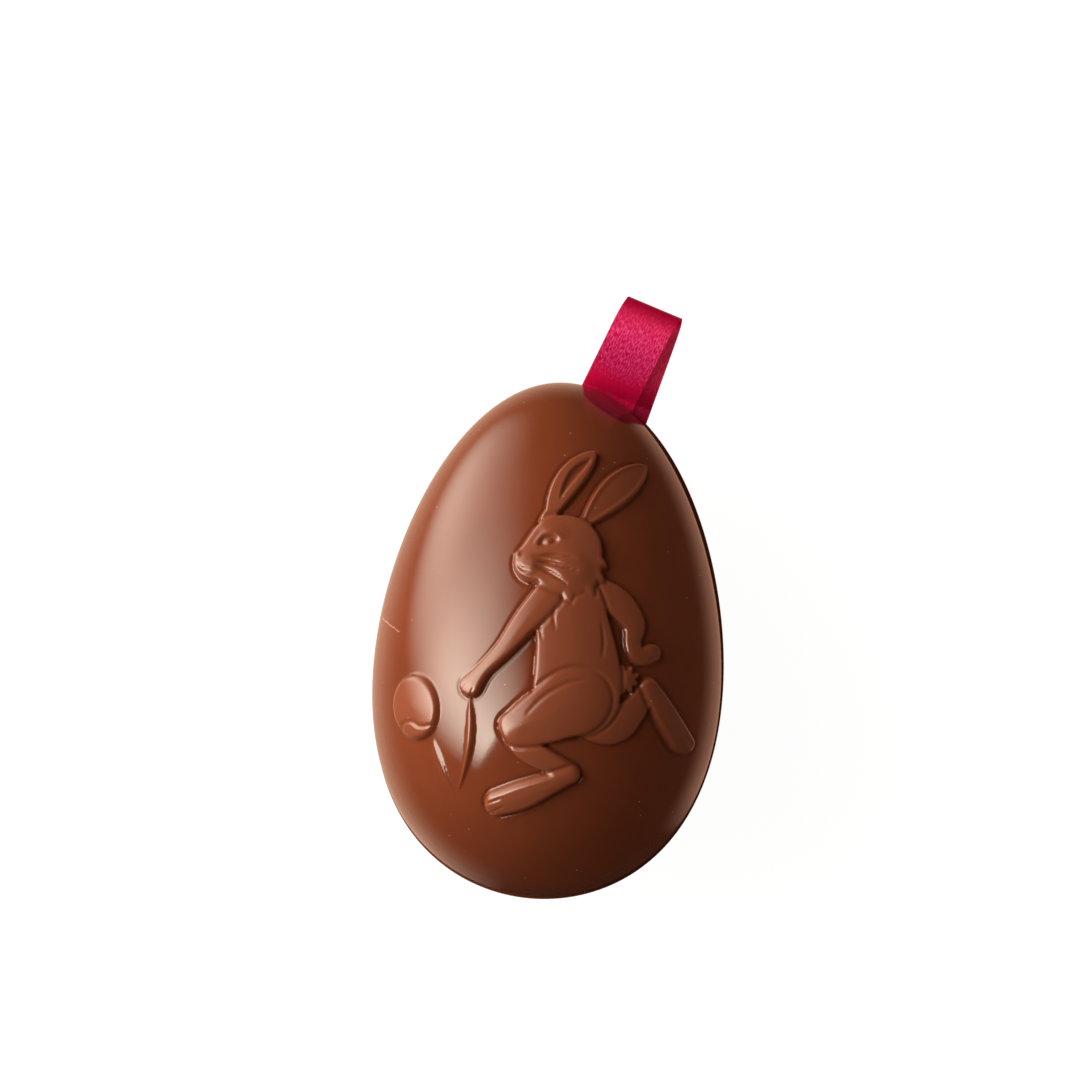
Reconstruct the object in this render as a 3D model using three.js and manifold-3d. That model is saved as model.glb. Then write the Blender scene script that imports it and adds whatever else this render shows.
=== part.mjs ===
// A hollow-moulded milk chocolate egg that lies on its back half, with a rabbit moulded on its front
// half and a satin ribbon loop held in its seam.
// Millimetres, +Z up. The seam between the halves is level, and the egg's tip points along +Y.
import * as THREE from "three";
import { mergeVertices } from "three/addons/utils/BufferGeometryUtils.js";
import Module from "manifold-3d";

const wasm = await Module();
wasm.setup();

// Driving dimensions of the egg
const EGG_LENGTH = 90;
const GIRTH_RADIUS = 30.1; // of the plain ellipse, before the taper fills out the blunt end
const TAPER = 0.164; // share by which the outline narrows towards the tip
const FULLNESS = 0.05; // share by which both ends are rounder than an ellipse's
const SEAM_GAP = 0.3;
const BACK_TURN = THREE.MathUtils.degToRad(-1.6); // the back half sits a little askew on the seam
const BACK_SHIFT = { across: 0.35, along: -0.6 };
const FLAT_DEPTH = 0.9; // what is taken off the round back to give it a flat spot to rest on

// Driving dimensions of the ribbon
const RIBBON_WIDTH = 10;
const RIBBON_THICKNESS = 0.5;
const RIBBON_TURN = THREE.MathUtils.degToRad(-19); // about +Z, away from the egg's own long axis
const RIBBON_ROOT = { across: 9, along: 43.2 }; // where the ribbon starts to rise, just out of the seam
const RIBBON_REACH = 13.6; // from the root out to the centre of the fold
const RIBBON_RISE = 6.3; // from the seam up to the centre of the fold
const ROOT_LEAN = THREE.MathUtils.degToRad(32); // slope of both strands where they leave the seam
const RIBBON_LEAN = THREE.MathUtils.degToRad(15); // slope of both strands where the fold starts
const FOLD_RADIUS = 1.7; // across the strands
const FOLD_REACH = 3; // along the strands, as the fold is drawn out into a soft bow
const TAIL_LENGTH = 6; // from the root back into the seam
const TAIL_GAP = 0.3; // between the two tails
const RIBBON_DRIFT = 3; // sideways, from the upper tail round to the lower one
const POCKET_CLEARANCE = 0.3;

// The moulded relief. Each part is a run of discs [across, along, radius], measured from the egg's
// centre and joined by tapering bars, and `height` is how far its flat top stands out of the egg.
const RELIEF_EDGE = 1.0; // width of the rounded edge of each part
const RELIEF = {
  smallEgg: { height: 0.9, discs: [[-21.8, -14.2, 3.9], [-22.3, -11.4, 3.7]] },
  tallBlade: { height: 0.6, discs: [[-14.2, -27, 0.2], [-14.6, -18, 0.9], [-13, -10.6, 0.3]] },
  shortBlade: { height: 0.5, discs: [[-14.2, -27, 0.2], [-16.6, -21.6, 0.6], [-18.6, -18.4, 0.2]] },
  tail: { height: 0.9, discs: [[12.9, -5.6, 2.5]] },
  farForeleg: {
    height: 0.9,
    discs: [[6.2, 9.4, 2.6], [10.6, 7.6, 2.7], [13.9, 4, 2.1], [14.2, -0.4, 1.6], [17.2, -0.9, 1.9]],
  },
  farHindLeg: { height: 0.8, discs: [[6, -11, 4.6], [11, -13.2, 3.9], [17, -7.2, 1.9]] },
  farHindFoot: { height: 1.0, discs: [[17.2, -6.4, 1.7], [20, -10.8, 2.3], [23.6, -16, 2.3]] },
  farEar: { height: 0.9, discs: [[4.1, 20, 1.6], [7.6, 24.6, 2.7], [10.6, 28.2, 2.7], [13.2, 30.6, 1]] },
  nearEar: { height: 1.0, discs: [[-1.6, 20, 1.7], [-0.6, 25.4, 2.4], [2.2, 29.6, 2.2], [4.9, 32, 0.9]] },
  body: { height: 1.3, discs: [[2.4, 9.5, 5], [3.8, 3, 7], [4.8, -4, 7.9], [5, -8, 7.9]] },
  nearShank: { height: 1.1, discs: [[-4.2, -16.4, 2.5], [2, -20.6, 2], [5, -22, 1.8]] },
  nearHindFoot: { height: 1.3, discs: [[4.6, -22.6, 1.7], [-1, -25.4, 2.3], [-6.4, -28.2, 2.4]] },
  haunch: { height: 1.6, discs: [[4.6, -9.9, 6.1], [0, -12.6, 4.9], [-4, -14.6, 3.5]] },
  nearForeleg: {
    height: 1.5,
    discs: [[-1, 7.6, 2.7], [-4.2, 3.2, 2.4], [-7.6, -1.8, 1.75], [-10.8, -5.6, 1.6], [-12.8, -8.4, 2.1]],
  },
  head: { height: 1.7, discs: [[2, 16, 6], [-1.5, 14.4, 4.4], [-4.6, 13.2, 3]] },
  cheek: { height: 1.7, discs: [[2.4, 12.8, 5.2]] },
};
const RELIEF_NORTH = 34; // the relief lies between these two places along the egg
const RELIEF_SOUTH = -32;

// How finely each surface is divided
const FRONT_ROWS = { tip: 6, relief: 48, base: 6 };
const FRONT_COLUMNS = 60;
const BACK_ROWS = { tip: 8, relief: 14, base: 8 };
const BACK_COLUMNS = 28;
const STRAND_STEPS = 8;
const FOLD_STEPS = 8;

// The egg's outline at a polar angle from its tip, and the outward direction there
function outline(angle) {
  const taper = 1 - TAPER * Math.cos(angle) + FULLNESS * Math.cos(angle) ** 2;
  const taperSlope = TAPER * Math.sin(angle) - FULLNESS * Math.sin(2 * angle);
  const radius = GIRTH_RADIUS * Math.sin(angle) * taper;
  const radiusSlope = GIRTH_RADIUS * (Math.cos(angle) * taper + Math.sin(angle) * taperSlope);
  const out = new THREE.Vector2((EGG_LENGTH / 2) * Math.sin(angle), radiusSlope).normalize();
  return { along: (EGG_LENGTH / 2) * Math.cos(angle), radius, outRadial: out.x, outAlong: out.y };
}

// How far inside a run of discs a point lies, negative outside it
function depthInside(discs, across, along) {
  let depth = discs[0][2] - Math.hypot(across - discs[0][0], along - discs[0][1]);
  for (let i = 1; i < discs.length; i += 1) {
    const [x0, y0, r0] = discs[i - 1];
    const [x1, y1, r1] = discs[i];
    const [dx, dy] = [x1 - x0, y1 - y0];
    const run = ((across - x0) * dx + (along - y0) * dy) / (dx * dx + dy * dy);
    const share = THREE.MathUtils.clamp(run, 0, 1);
    const away = Math.hypot(across - x0 - share * dx, along - y0 - share * dy);
    depth = Math.max(depth, r0 + (r1 - r0) * share - away);
  }
  return depth;
}

// The relief's height over a point of the front half: a flat top with a rounded edge
function reliefHeight(across, along) {
  const heights = Object.values(RELIEF).map(({ height, discs }) => {
    const share = THREE.MathUtils.clamp(depthInside(discs, across, along) / RELIEF_EDGE, 0, 1);
    return height * Math.sqrt(1 - (1 - share) ** 2);
  });
  return Math.max(...heights);
}

// Polar angles of the rows, closer together where the relief is
function rowAngles({ tip, relief, base }) {
  const north = Math.acos(RELIEF_NORTH / (EGG_LENGTH / 2));
  const south = Math.acos(RELIEF_SOUTH / (EGG_LENGTH / 2));
  const angles = [];
  for (let i = 1; i <= tip; i += 1) angles.push((north * i) / tip);
  for (let i = 1; i <= relief; i += 1) angles.push(north + ((south - north) * i) / relief);
  for (let i = 1; i < base; i += 1) angles.push(south + ((Math.PI - south) * i) / base);
  return angles;
}

// Angles of the columns round the half, between even steps across and even steps round
function columnAngles(columns) {
  const angles = [];
  for (let i = 0; i <= columns; i += 1) {
    const share = i / columns;
    angles.push(THREE.MathUtils.lerp(Math.acos(1 - 2 * share), Math.PI * share, 0.4));
  }
  return angles;
}

// A solid half egg, its flat seam face down at z = 0 and its round side up
function halfEgg(rows, columns, heightAt) {
  const half = EGG_LENGTH / 2;
  const corners = [[0, half, 0]];
  const rowList = rowAngles(rows);
  const columnList = columnAngles(columns);
  for (const rowAngle of rowList) {
    const { along, radius, outRadial, outAlong } = outline(rowAngle);
    for (const columnAngle of columnList) {
      const [cos, sin] = [Math.cos(columnAngle), Math.sin(columnAngle)];
      const lift = heightAt(radius * cos, along);
      const out = radius + lift * outRadial;
      corners.push([out * cos, along + lift * outAlong, out * Math.max(sin, 0)]);
    }
  }
  corners.push([0, -half, 0]);
  const width = columns + 1;
  const at = (row, column) => 1 + row * width + column;
  const lastRow = rowList.length - 1;
  const lastCorner = corners.length - 1;
  const faces = [[0, at(0, 0), at(0, columns)], [lastCorner, at(lastRow, columns), at(lastRow, 0)]];
  for (let j = 0; j < columns; j += 1) {
    faces.push([0, at(0, j + 1), at(0, j)], [lastCorner, at(lastRow, j), at(lastRow, j + 1)]);
  }
  for (let i = 0; i < lastRow; i += 1) {
    for (let j = 0; j < columns; j += 1) {
      faces.push([at(i, j), at(i, j + 1), at(i + 1, j + 1)], [at(i, j), at(i + 1, j + 1), at(i + 1, j)]);
    }
    faces.push([at(i, 0), at(i + 1, 0), at(i + 1, columns)]);
    faces.push([at(i, 0), at(i + 1, columns), at(i, columns)]);
  }
  return closedGeometry(corners, faces);
}

// The ribbon's middle line seen from its side: out along the seam, up the upper strand, round the
// fold and back down the lower strand
function ribbonLine() {
  const tailLevel = (RIBBON_THICKNESS + TAIL_GAP) / 2;
  const lean = new THREE.Vector2(Math.cos(RIBBON_LEAN), Math.sin(RIBBON_LEAN));
  const across = new THREE.Vector2(-lean.y, lean.x);
  const fold = new THREE.Vector2(RIBBON_REACH, RIBBON_RISE);
  const pull = RIBBON_REACH * 0.4; // length of the Bezier handles
  const strand = (side) => {
    const end = fold.clone().addScaledVector(across, side * FOLD_RADIUS);
    const handle = end.clone().addScaledVector(lean, -pull);
    const root = new THREE.Vector2(0, side * tailLevel);
    const rise = new THREE.Vector2(Math.cos(ROOT_LEAN), Math.sin(ROOT_LEAN));
    const rootHandle = root.clone().addScaledVector(rise, pull);
    return new THREE.CubicBezierCurve(root, rootHandle, handle, end);
  };
  const points = [new THREE.Vector2(-TAIL_LENGTH, tailLevel), ...strand(1).getSpacedPoints(STRAND_STEPS)];
  for (let i = 1; i < FOLD_STEPS; i += 1) {
    const angle = Math.PI * (0.5 - i / FOLD_STEPS);
    const point = fold.clone().addScaledVector(lean, FOLD_REACH * Math.cos(angle));
    points.push(point.addScaledVector(across, FOLD_RADIUS * Math.sin(angle)));
  }
  points.push(...strand(-1).getSpacedPoints(STRAND_STEPS).reverse());
  points.push(new THREE.Vector2(-TAIL_LENGTH, -tailLevel));
  return points;
}

// The ribbon as one closed strip: x across its width, y away from the egg, z up
function ribbonGeometry() {
  const line = ribbonLine();
  const corners = [];
  line.forEach((point, i) => {
    const before = line[Math.max(i - 1, 0)];
    const after = line[Math.min(i + 1, line.length - 1)];
    const along = after.clone().sub(before).normalize();
    const drift = RIBBON_DRIFT * (i / (line.length - 1) - 0.5);
    for (const [side, face] of [[-1, 1], [1, 1], [1, -1], [-1, -1]]) {
      const off = (face * RIBBON_THICKNESS) / 2;
      corners.push([drift + (side * RIBBON_WIDTH) / 2, point.x - along.y * off, point.y + along.x * off]);
    }
  });
  const faces = [[0, 2, 1], [0, 3, 2]];
  for (let i = 0; i < line.length - 1; i += 1) {
    for (let k = 0; k < 4; k += 1) {
      const [a, b] = [4 * i + k, 4 * i + ((k + 1) % 4)];
      faces.push([a, b + 4, a + 4], [a, b, b + 4]);
    }
  }
  const last = 4 * (line.length - 1);
  faces.push([last, last + 1, last + 2], [last, last + 2, last + 3]);
  return closedGeometry(corners, faces);
}

function closedGeometry(corners, faces) {
  const geometry = new THREE.BufferGeometry();
  geometry.setAttribute("position", new THREE.Float32BufferAttribute(corners.flat(), 3));
  geometry.setIndex(faces.flat());
  return geometry;
}

// A mesh as a manifold solid in its parent's frame, and a manifold solid as a geometry
function toSolid(mesh) {
  mesh.updateMatrix();
  const placed = mesh.geometry.clone().applyMatrix4(mesh.matrix);
  placed.deleteAttribute("normal");
  placed.deleteAttribute("uv");
  const merged = mergeVertices(placed, 1e-4);
  const vertProperties = merged.attributes.position.array;
  const triVerts = new Uint32Array(merged.index.array);
  return new wasm.Manifold(new wasm.Mesh({ numProp: 3, vertProperties, triVerts }));
}

function toGeometry(solid) {
  const { vertProperties, triVerts } = solid.getMesh();
  const geometry = new THREE.BufferGeometry();
  geometry.setAttribute("position", new THREE.BufferAttribute(vertProperties, 3));
  geometry.setIndex(new THREE.BufferAttribute(triVerts, 1));
  geometry.computeVertexNormals();
  return geometry;
}

// The slot in the seam that holds the ribbon's tails
function ribbonPocket() {
  const width = RIBBON_WIDTH + RIBBON_DRIFT + 2 * POCKET_CLEARANCE;
  const depth = TAIL_LENGTH + POCKET_CLEARANCE;
  const height = 2 * RIBBON_THICKNESS + TAIL_GAP + 2 * POCKET_CLEARANCE;
  const length = 2 * depth; // runs out past the rim as far as it runs in
  const pocket = new THREE.Mesh(new THREE.BoxGeometry(width, length, height));
  pocket.position.set(RIBBON_ROOT.across, RIBBON_ROOT.along, 0);
  pocket.rotation.z = RIBBON_TURN;
  return pocket;
}

function frontHalf() {
  const mesh = new THREE.Mesh(halfEgg(FRONT_ROWS, FRONT_COLUMNS, reliefHeight));
  mesh.position.z = SEAM_GAP / 2;
  return toGeometry(toSolid(mesh).subtract(toSolid(ribbonPocket())));
}

function backHalf() {
  const mesh = new THREE.Mesh(halfEgg(BACK_ROWS, BACK_COLUMNS, () => 0));
  mesh.rotation.set(0, Math.PI, BACK_TURN);
  mesh.position.set(BACK_SHIFT.across, BACK_SHIFT.along, -SEAM_GAP / 2);
  const round = toSolid(mesh);
  const lowest = round.boundingBox().min[2];
  const shaving = new THREE.Mesh(new THREE.BoxGeometry(EGG_LENGTH, EGG_LENGTH, 2 * FLAT_DEPTH));
  shaving.position.z = lowest;
  return toGeometry(round.subtract(toSolid(shaving)).subtract(toSolid(ribbonPocket())));
}

const chocolate = new THREE.MeshStandardMaterial({ color: 0x7a3c22, roughness: 0.42, metalness: 0 });
const satin = new THREE.MeshStandardMaterial({ color: 0xb00038, roughness: 0.5, metalness: 0 });

function named(name, geometry, material) {
  const mesh = new THREE.Mesh(geometry, material);
  mesh.name = name;
  return mesh;
}

const egg = new THREE.Group();
egg.add(named("front_half", frontHalf(), chocolate));
egg.add(named("back_half", backHalf(), chocolate));

const ribbon = named("ribbon", ribbonGeometry(), satin);
ribbon.position.set(RIBBON_ROOT.across, RIBBON_ROOT.along, 0);
ribbon.rotation.z = RIBBON_TURN;
egg.add(ribbon);

// The origin is under the middle of the whole part, on the surface it rests on
const bounds = new THREE.Box3().setFromObject(egg, true);
const middle = bounds.getCenter(new THREE.Vector3());
egg.position.set(-middle.x, -middle.y, -bounds.min.z);

const chocolateEgg = new THREE.Group();
chocolateEgg.add(egg);
export default chocolateEgg;
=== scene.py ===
# %% [markdown]
# # A moulded chocolate egg with a ribbon loop
# The real object is a hollow milk chocolate egg, 90 mm long. It is cast in two half moulds, and
# the front mould has a running rabbit cut into it, so the rabbit stands about a millimetre out of
# the chocolate. A loop of crimson satin ribbon is caught in the seam beside the tip.
# The lesson builds three pieces, the front half, the back half and the ribbon, and then gives them
# a milk chocolate and a woven satin finish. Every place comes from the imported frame.

# %% Load the frame
import bpy
import numpy as np
from mathutils import Matrix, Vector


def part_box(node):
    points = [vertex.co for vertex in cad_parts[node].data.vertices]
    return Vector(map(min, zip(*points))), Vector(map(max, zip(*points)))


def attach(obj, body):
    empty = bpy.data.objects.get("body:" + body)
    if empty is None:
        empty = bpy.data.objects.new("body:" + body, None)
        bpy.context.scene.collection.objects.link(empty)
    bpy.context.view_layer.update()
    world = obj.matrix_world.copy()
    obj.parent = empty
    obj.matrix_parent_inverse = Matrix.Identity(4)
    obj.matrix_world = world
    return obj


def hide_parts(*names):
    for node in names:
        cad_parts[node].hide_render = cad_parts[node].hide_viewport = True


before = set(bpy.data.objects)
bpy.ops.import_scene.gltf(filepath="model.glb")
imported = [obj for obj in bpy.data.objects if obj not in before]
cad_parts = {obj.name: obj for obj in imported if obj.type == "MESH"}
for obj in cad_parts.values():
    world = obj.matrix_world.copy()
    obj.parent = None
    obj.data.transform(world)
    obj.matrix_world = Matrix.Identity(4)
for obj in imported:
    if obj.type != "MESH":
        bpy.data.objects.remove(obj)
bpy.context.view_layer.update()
print("nodes:", sorted(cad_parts))

# %% [markdown]
# The egg's own sizes follow from the two halves' boxes. The seam lies between them, and the egg's
# long axis runs through the front half's middle, along Y. Small sizes below are written in
# millimetres and turned into metres with MM.

# %% Sizes taken from the frame
MM = 0.001
front_low, front_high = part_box("front_half")
back_low, back_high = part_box("back_half")
SEAM_HEIGHT = (front_low.z + back_high.z) / 2
EGG_MIDDLE = (front_low + front_high) / 2
BACK_MIDDLE = (back_low + back_high) / 2
HALF_LENGTH = (front_high.y - front_low.y) / 2
HALF_WIDTH = (front_high.x - front_low.x) / 2
print("egg:", round(2 * HALF_LENGTH / MM, 1), "mm long,", round(2 * HALF_WIDTH / MM, 1), "mm wide")

# %% [markdown]
# An egg's outline is an ellipse that is narrowed towards the tip. TAPER is how much narrower, and
# FULLNESS keeps both ends round. The polar angle is 0 at the tip and 180 degrees at the blunt end.

# %% The egg's outline
TAPER = 0.164
FULLNESS = 0.05
OUTLINE_SAMPLES = 721


def unit_radius(polar):
    return np.sin(polar) * (1 - TAPER * np.cos(polar) + FULLNESS * np.cos(polar) ** 2)


GIRTH_RADIUS = HALF_WIDTH / unit_radius(np.linspace(0, np.pi, OUTLINE_SAMPLES)).max()
print("ellipse radius", round(GIRTH_RADIUS / MM, 2), "mm")

# %% [markdown]
# Operators act on whatever is selected, so a helper leaves just one object selected and active,
# and others turn edit mode on and off and move a mesh's points with numpy in one go.

# %% Small helpers


def only(piece):
    bpy.ops.object.select_all(action="DESELECT")
    piece.select_set(True)
    bpy.context.view_layer.objects.active = piece
    return piece


def points_of(piece):
    flat = np.empty(len(piece.data.vertices) * 3)
    piece.data.vertices.foreach_get("co", flat)
    return flat.reshape(-1, 3)


def put_points(piece, points):
    piece.data.vertices.foreach_set("co", np.ascontiguousarray(points).ravel())
    piece.data.update()


def select_boundary():
    bpy.ops.mesh.select_mode(type="EDGE")
    bpy.ops.mesh.select_all(action="DESELECT")
    bpy.ops.mesh.select_non_manifold(extend=False, use_wire=False, use_multi_face=False,
                                     use_non_contiguous=False, use_verts=False)


def apply_modifier(piece, kind, **settings):
    only(piece)
    modifier = piece.modifiers.new(kind.title(), kind)
    for name, value in settings.items():
        setattr(modifier, name, value)
    bpy.ops.object.modifier_apply(modifier=modifier.name)


def smooth_step(low, high, value):
    share = np.clip((value - low) / (high - low), 0, 1)
    return share * share * (3 - 2 * share)


print("a smooth step is", smooth_step(0, 1, 0.25), "a quarter of the way up")

# %% [markdown]
# Each half is a flat grid wrapped round half the egg: the grid's columns go over the round from
# rim to rim, and its rows run from the tip to the blunt end. A sphere primitive would waste its
# points at the poles. A grid can be made denser just where the moulded rabbit needs it. The rows
# at both ends fall together into the two poles and are merged.

# %% Wrapping a grid round half an egg
RELIEF_NORTH = np.arccos(34 * MM / HALF_LENGTH)
RELIEF_SOUTH = np.arccos(-31 * MM / HALF_LENGTH)
COLUMN_EVENNESS = 0.4
SAME_POINT = 1e-7


def wrapped_half(name, columns, rows, dense_share, up, middle):
    bpy.ops.object.select_all(action="DESELECT")
    bpy.ops.mesh.primitive_grid_add(x_subdivisions=columns, y_subdivisions=rows, size=2)
    half = only(bpy.context.active_object)
    half.name = name
    half.data.name = name
    share = (points_of(half)[:, :2] + 1) / 2
    end_share = (1 - dense_share) / 2
    stops = [0, end_share, 1 - end_share, 1]
    polar = np.interp(share[:, 1], stops, [0, RELIEF_NORTH, RELIEF_SOUTH, np.pi])
    even_across = np.arccos(1 - 2 * share[:, 0])
    round_angle = even_across + COLUMN_EVENNESS * (np.pi * share[:, 0] - even_across)
    radius = GIRTH_RADIUS * unit_radius(polar)
    points = np.column_stack([radius * np.cos(round_angle),
                              HALF_LENGTH * np.cos(polar),
                              up * radius * np.sin(round_angle)])
    put_points(half, points + np.array([middle.x, middle.y, SEAM_HEIGHT]))
    bpy.ops.object.mode_set(mode="EDIT")
    bpy.ops.mesh.select_all(action="SELECT")
    bpy.ops.mesh.remove_doubles(threshold=SAME_POINT)
    bpy.ops.mesh.normals_make_consistent(inside=False)
    bpy.ops.object.mode_set(mode="OBJECT")
    if sum(face.normal.z for face in half.data.polygons) * up < 0:
        half.data.flip_normals()
    print(name, len(half.data.polygons), "faces wrapped")
    return half


front_half = wrapped_half("chocolate_front", columns=320, rows=300, dense_share=0.85, up=1,
                          middle=EGG_MIDDLE)

# %% [markdown]
# ## The moulded rabbit
# A mould maker cuts a relief as layered flat shapes with rounded edges. The same is done here with
# distance fields: for every point of the egg, a shape says how deep inside its outline the point
# lies. Limbs are runs of discs with a smooth curve through them, ears and grass are leaf shapes,
# and the head is made of ovals. All places are millimetres across and along from the egg's middle.

# %% Limbs


def soft_union(first, second, blend):
    share = np.clip(0.5 + 0.5 * (first - second) / blend, 0, 1)
    return second + (first - second) * share + blend * share * (1 - share)


def smooth_run(discs, steps=5):
    """Discs (across, along, radius) with more of them put in on a Catmull-Rom curve."""
    ends = np.array([discs[0], *discs, discs[-1]], float)
    run = []
    for p0, p1, p2, p3 in zip(ends[:-3], ends[1:-2], ends[2:-1], ends[3:]):
        for t in np.arange(steps) / steps:
            run.append(0.5 * (2 * p1 + (p2 - p0) * t + (2 * p0 - 5 * p1 + 4 * p2 - p3) * t**2
                              + (3 * p1 - p0 - 3 * p2 + p3) * t**3))
    run.append(ends[-1])
    return run


def limb(place, *discs):
    """Depth inside a run of discs joined by tapering bars."""
    across, along = place
    depth = np.full(across.shape, -np.inf)
    run = smooth_run(discs)
    for (x0, y0, r0), (x1, y1, r1) in zip(run[:-1], run[1:]):
        dx, dy = x1 - x0, y1 - y0
        share = np.clip(((across - x0) * dx + (along - y0) * dy) / (dx * dx + dy * dy + 1e-9), 0, 1)
        away = np.hypot(across - x0 - share * dx, along - y0 - share * dy)
        depth = np.maximum(depth, r0 + (r1 - r0) * share - away)
    return depth


print("half way along a limb the depth is", limb(np.array([[0.5], [0.0]]), (0, 0, 2), (1, 0, 1)).round(2))

# %% Leaves and ovals


def leaf(place, base, tip, half_width, bow=0.0, widest=0.5, root=0.0, blunt=0.75):
    """Depth inside a leaf that is widest at a share of its length and bows to one side."""
    across, along = place
    dx, dy = tip[0] - base[0], tip[1] - base[1]
    length = np.hypot(dx, dy)
    run = ((across - base[0]) * dx + (along - base[1]) * dy) / length**2
    share = np.clip(run, 1e-6, 1)
    side = ((along - base[1]) * dx - (across - base[0]) * dy) / length - bow * 4 * share * (1 - share)
    width = half_width * np.sin(np.pi * share ** (np.log(0.5) / np.log(widest))) ** blunt
    width = np.maximum(width, root * (1 - smooth_step(0, 0.5, share)))
    past_end = np.minimum(run, 1 - run) * length
    return np.where(past_end < 0, np.minimum(past_end, width - abs(side)), width - abs(side))


def oval(place, middle, half_long, half_short, tilt=0.0):
    """Depth inside an ellipse."""
    cos, sin = np.cos(np.radians(tilt)), np.sin(np.radians(tilt))
    dx, dy = place[0] - middle[0], place[1] - middle[1]
    share = np.hypot((dx * cos + dy * sin) / half_long, (dy * cos - dx * sin) / half_short)
    return (1 - share) * min(half_long, half_short)


print("in the middle of an oval it is", oval(np.zeros((2, 1)), (0, 0), 3, 2).round(2))

# %% [markdown]
# A part is laid over what is there: a fine groove runs round its outline, in the bare shell too, its
# wall rounds off into its top, and the top swells a little. Eye, nose and whiskers are then pressed
# in, raised or drawn.

# %% Laying, pressing and drawing
GROOVE_DEPTH = 0.3
GROOVE_WIDTH = 0.3


def lay(height, depth, top, edge=0.6, swell=0.3, swell_width=3.0):
    groove = np.where(depth < 0, np.exp(-(depth / GROOVE_WIDTH) ** 2), 1.0)
    under = height - GROOVE_DEPTH * groove
    profile = 1 - (1 - np.clip(depth / edge, 0, 1)) ** 2
    body = top + swell * (1 - np.exp(-np.maximum(depth, 0) / swell_width))
    return np.where(depth > 0, np.maximum(under + (body - under) * profile, under), under)


def press(height, depth, deep, edge=0.4):
    return height - deep * smooth_step(0, edge, depth)


def raise_up(height, depth, rise, edge=0.6):
    return height + rise * np.sqrt(np.clip(depth / edge, 0, 1))


def draw(height, place, points, deep, half_width):
    """A line with thin ends, pressed in, or raised where deep is negative."""
    last = len(points) - 1
    discs = [(x, y, half_width * (0.25 if i in (0, last) else 1)) for i, (x, y) in enumerate(points)]
    return height - deep * smooth_step(-0.15, half_width * 0.8, limb(place, *discs))


print("heights at 0.1, 0.3 and 3 mm from an edge:", lay(0.0, np.array([0.1, 0.3, 3.0]), 1.0).round(2))

# %% [markdown]
# The scene round the rabbit comes first, because it lies lowest: a small egg, a tuft of grass, and
# the tail and the two legs on the rabbit's far side.

# %% Egg, grass and tail


def egg_and_grass(height, place):
    small_egg = oval(place, (-22.0, -12.8), 4.1, 5.9, 8)
    height = lay(height, small_egg, 0.9, edge=0.9, swell=0.45)
    band = [(-23.5, -17.4), (-23.6, -15.9), (-22.2, -15.2), (-20.6, -15.9), (-18.2, -15.3)]
    height = draw(height, place, band, 0.3, 0.26)
    root = (-14.2, -27.4)
    for tip, width, bow, rise in [((-13.0, -10.4), 0.8, -1.0, 0.7), ((-18.8, -18.2), 0.7, 0.5, 0.3)]:
        blade = leaf(place, root, tip, width, bow, 0.65)
        height = np.maximum(height, raise_up(0 * height, blade, rise, 0.7))
    return height


def tail(height, place):
    middle = np.array([12.9, -5.6])
    puff = limb(place, (*middle, 2.0), (*middle, 2.0))
    for turn in np.radians(np.arange(10, 370, 40)):
        tuft_root = middle + 1.0 * np.array([np.cos(turn), np.sin(turn)])
        tuft_tip = middle + 2.9 * np.array([np.cos(turn + 0.25), np.sin(turn + 0.25)])
        puff = np.maximum(puff, leaf(place, tuft_root, tuft_tip, 0.75, 0.1, 0.45))
    return lay(height, puff, 0.7, edge=0.5, swell=0.5, swell_width=1.5)


layers = [egg_and_grass, tail]
print(len(layers), "layers so far")

# %% Far legs


def toes(height, place, first, last, spread, marks):
    """Short lines from one point to another, set side by side along spread."""
    for share in marks:
        shift = share * np.array(spread)
        height = draw(height, place, [np.array(first) + shift, np.array(last) + 0.85 * shift], 0.35, 0.25)
    return height


def far_legs(height, place):
    foreleg = limb(place, (6.2, 9.4, 2.6), (10.6, 7.6, 2.7), (13.9, 4.0, 2.1), (14.0, 0.4, 1.55),
                   (15.4, -1.6, 1.8), (17.2, -0.9, 1.9))
    height = lay(height, foreleg, 0.75, swell=0.35)
    height = toes(height, place, (18.8, -0.7), (17.2, -0.9), (0.1, 0.9), (-0.6, 0.5))
    hind_leg = limb(place, (6, -11, 4.6), (11.0, -13.2, 3.9), (14.6, -11.0, 2.5), (17.0, -7.2, 1.9))
    height = lay(height, hind_leg, 0.7)
    foot = limb(place, (17.2, -6.4, 1.7), (20.0, -10.8, 2.25), (23.6, -16.0, 2.3))
    height = lay(height, foot, 1.0, edge=0.9, swell=0.5)
    return toes(height, place, (24.6, -17.4), (23.2, -15.2), (0.9, 0.5), (-0.75, 0.75))


layers += [far_legs]
print(len(layers), "layers so far")

# %% [markdown]
# The ears are long leaves with a sunk middle. The body is one smooth barrel, and the near legs lie
# over it, with a big round haunch, as on any hare in full stride.

# %% Ears and body


def ears(height, place):
    far_ear = leaf(place, (3.6, 19.0), (14.3, 31.0), 2.9, 0.5, 0.62, 1.6, 0.5)
    height = press(lay(height, far_ear, 0.85, swell=0.1), far_ear - 0.5, 0.22, 0.8)
    near_ear = leaf(place, (-2.0, 19.2), (5.6, 32.8), 2.5, 1.1, 0.6, 1.7, 0.5)
    inside = leaf(place, (0.0, 23.6), (5.0, 31.4), 0.95, 0.8, 0.6, 0, 0.6)
    return press(lay(height, near_ear, 0.95, swell=0.1), inside, 0.55, 0.6)


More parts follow.
